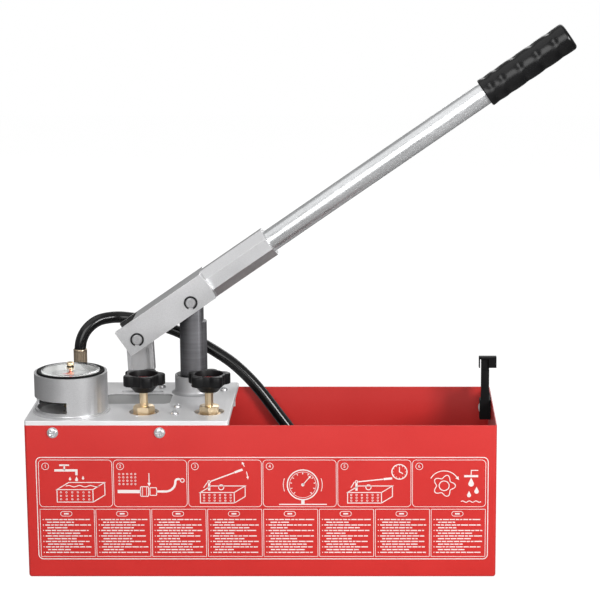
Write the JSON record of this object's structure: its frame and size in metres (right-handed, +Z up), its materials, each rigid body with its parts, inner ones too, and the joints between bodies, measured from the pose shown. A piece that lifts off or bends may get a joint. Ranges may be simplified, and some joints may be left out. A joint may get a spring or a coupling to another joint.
{
  "type": "hydrostatic test pump",
  "caption": "Manual hydrostatic test pump: open sheet tank with a lever-driven plunger, a pressure gauge, needle valves and a coiled hose.",
  "frame": {"origin": "centre of the tank's footprint on the floor", "axes": "+X along the tank towards the open end and the grip, +Y away from the front face, +Z up"},
  "size_m": [0.5894, 0.1768, 0.5813],
  "materials": {
    "red_coat": "semi-gloss powder coat over sheet steel",
    "silver_cast": "silver painted casting",
    "raw_cast": "as cast",
    "zinc": "bright zinc plated",
    "plunger_steel": "dark ground steel",
    "spring_steel": "bright",
    "brass": "turned brass",
    "black_rubber": "matt",
    "black_plastic": "fine satin",
    "grey_plastic": "matt",
    "red_plastic": "gloss",
    "white_dial": "matt white",
    "black_hand": "matt",
    "red_hand": "matt",
    "clear": "clear polycarbonate"
  },
  "bodies": {
    "frame": {"tank": "red_coat", "top_plate": "silver_cast", "gauge_guard": "silver_cast", "pump_body": "raw_cast", "plate_screws": "zinc", "body_screws": "zinc", "clip_rivets": "zinc", "suction_pipe": "zinc", "suction_spring": "spring_steel", "discharge_spring": "spring_steel", "gallery_plug": "brass", "suction_seat": "brass", "suction_cage": "brass", "discharge_plug": "brass", "gland_nut_left": "brass", "gland_nut_right": "brass", "gauge_stem": "brass", "gauge_bourdon": "brass", "outlet_nipple": "brass", "hose_ferrule": "brass", "hose_end": "brass", "plunger_packing": "black_rubber", "wiper_ring": "black_rubber", "hose_run": "black_rubber", "hose_coil": "black_rubber", "gauge_case": "black_plastic", "lever_clip": "black_plastic", "suction_strainer": "grey_plastic", "gauge_dial": "white_dial", "gauge_lens": "clear"},
    "plunger": {"plunger": "plunger_steel"},
    "lever": {"lever_head": "silver_cast", "lever_tube": "zinc", "lever_grip": "black_rubber", "plunger_pin": "plunger_steel", "link_pin": "plunger_steel", "pin_clips": "black_plastic", "pin_spacers": "silver_cast"},
    "link": {"link": "silver_cast", "link_foot_pin": "plunger_steel"},
    "valve_left_ring": {"spindle_ring_left": "black_rubber"},
    "valve_left": {"valve_spindle_left": "brass", "valve_knob_left": "black_plastic", "knob_cap_left": "red_plastic"},
    "valve_right_ring": {"spindle_ring_right": "black_rubber"},
    "valve_right": {"valve_spindle_right": "brass", "valve_knob_right": "black_plastic", "knob_cap_right": "red_plastic"},
    "pointer": {"gauge_pointer": "black_hand"},
    "drag_hand": {"drag_pointer": "red_hand", "drag_knob": "brass"},
    "suction_valve": {"suction_ball": "spring_steel"},
    "discharge_valve": {"discharge_ball": "spring_steel"},
    "swivel": {"swivel_nut": "brass"}
  },
  "joints": [
    {"name": "lever_swing", "type": "hinge", "parent": "plunger", "child": "lever", "pos_m": [-0.0805, 0.042, 0.279], "axis": [0, -1, 0], "range_deg": [-42, 18]},
    {"name": "plunger_stroke", "type": "slide", "parent": "frame", "child": "plunger", "axis": [0, 0, 1], "range_m": [-0.04555, 0.01958]},
    {"name": "link_swing", "type": "hinge", "parent": "lever", "child": "link", "pos_m": [-0.13994, 0.042, 0.23784], "axis": [0, -1, 0], "range_deg": [-23.68, 55.12]},
    {"name": "valve_left_turn", "type": "hinge", "parent": "valve_left_ring", "child": "valve_left", "pos_m": [-0.127, -0.046, 0.18], "axis": [0, 0, 1], "range_deg": [-361, 361]},
    {"name": "valve_left_lift", "type": "slide", "parent": "frame", "child": "valve_left_ring", "axis": [0, 0, 1], "range_m": [-0.0015, 0.0015]},
    {"name": "valve_right_turn", "type": "hinge", "parent": "valve_right_ring", "child": "valve_right", "pos_m": [-0.057, -0.046, 0.18], "axis": [0, 0, 1], "range_deg": [-361, 361]},
    {"name": "valve_right_lift", "type": "slide", "parent": "frame", "child": "valve_right_ring", "axis": [0, 0, 1], "range_m": [-0.0015, 0.0015]},
    {"name": "pointer_turn", "type": "hinge", "parent": "frame", "child": "pointer", "pos_m": [-0.2052, -0.0415, 0.2], "axis": [0, 0, -1], "range_deg": [0, 270]},
    {"name": "drag_hand_turn", "type": "hinge", "parent": "frame", "child": "drag_hand", "pos_m": [-0.2052, -0.0415, 0.21], "axis": [0, 0, -1], "range_deg": [0, 266]},
    {"name": "suction_lift", "type": "slide", "parent": "frame", "child": "suction_valve", "axis": [0, 0, 1], "range_m": [0, 0.0015], "stiffness_N_per_m": 150, "springref_m": -0.002, "deforming": ["suction_spring"]},
    {"name": "discharge_lift", "type": "slide", "parent": "frame", "child": "discharge_valve", "axis": [0, -1, 0], "range_m": [0, 0.0015], "stiffness_N_per_m": 150, "springref_m": -0.002, "deforming": ["discharge_spring"]},
    {"name": "swivel_turn", "type": "hinge", "parent": "frame", "child": "swivel", "pos_m": [0.1, -0.0627, 0.024], "axis": [1, 0, 0], "continuous": true}
  ],
  "couplings": [
    {"joint": "plunger_stroke", "follows": "lever_swing", "m_per_rad": 0.062},
    {"joint": "link_swing", "follows": "lever_swing", "ratio": -1.31},
    {"joint": "valve_left_turn", "follows": "valve_left_lift", "rad_per_m": 4188.8},
    {"joint": "valve_right_turn", "follows": "valve_right_lift", "rad_per_m": 4188.8}
  ]
}
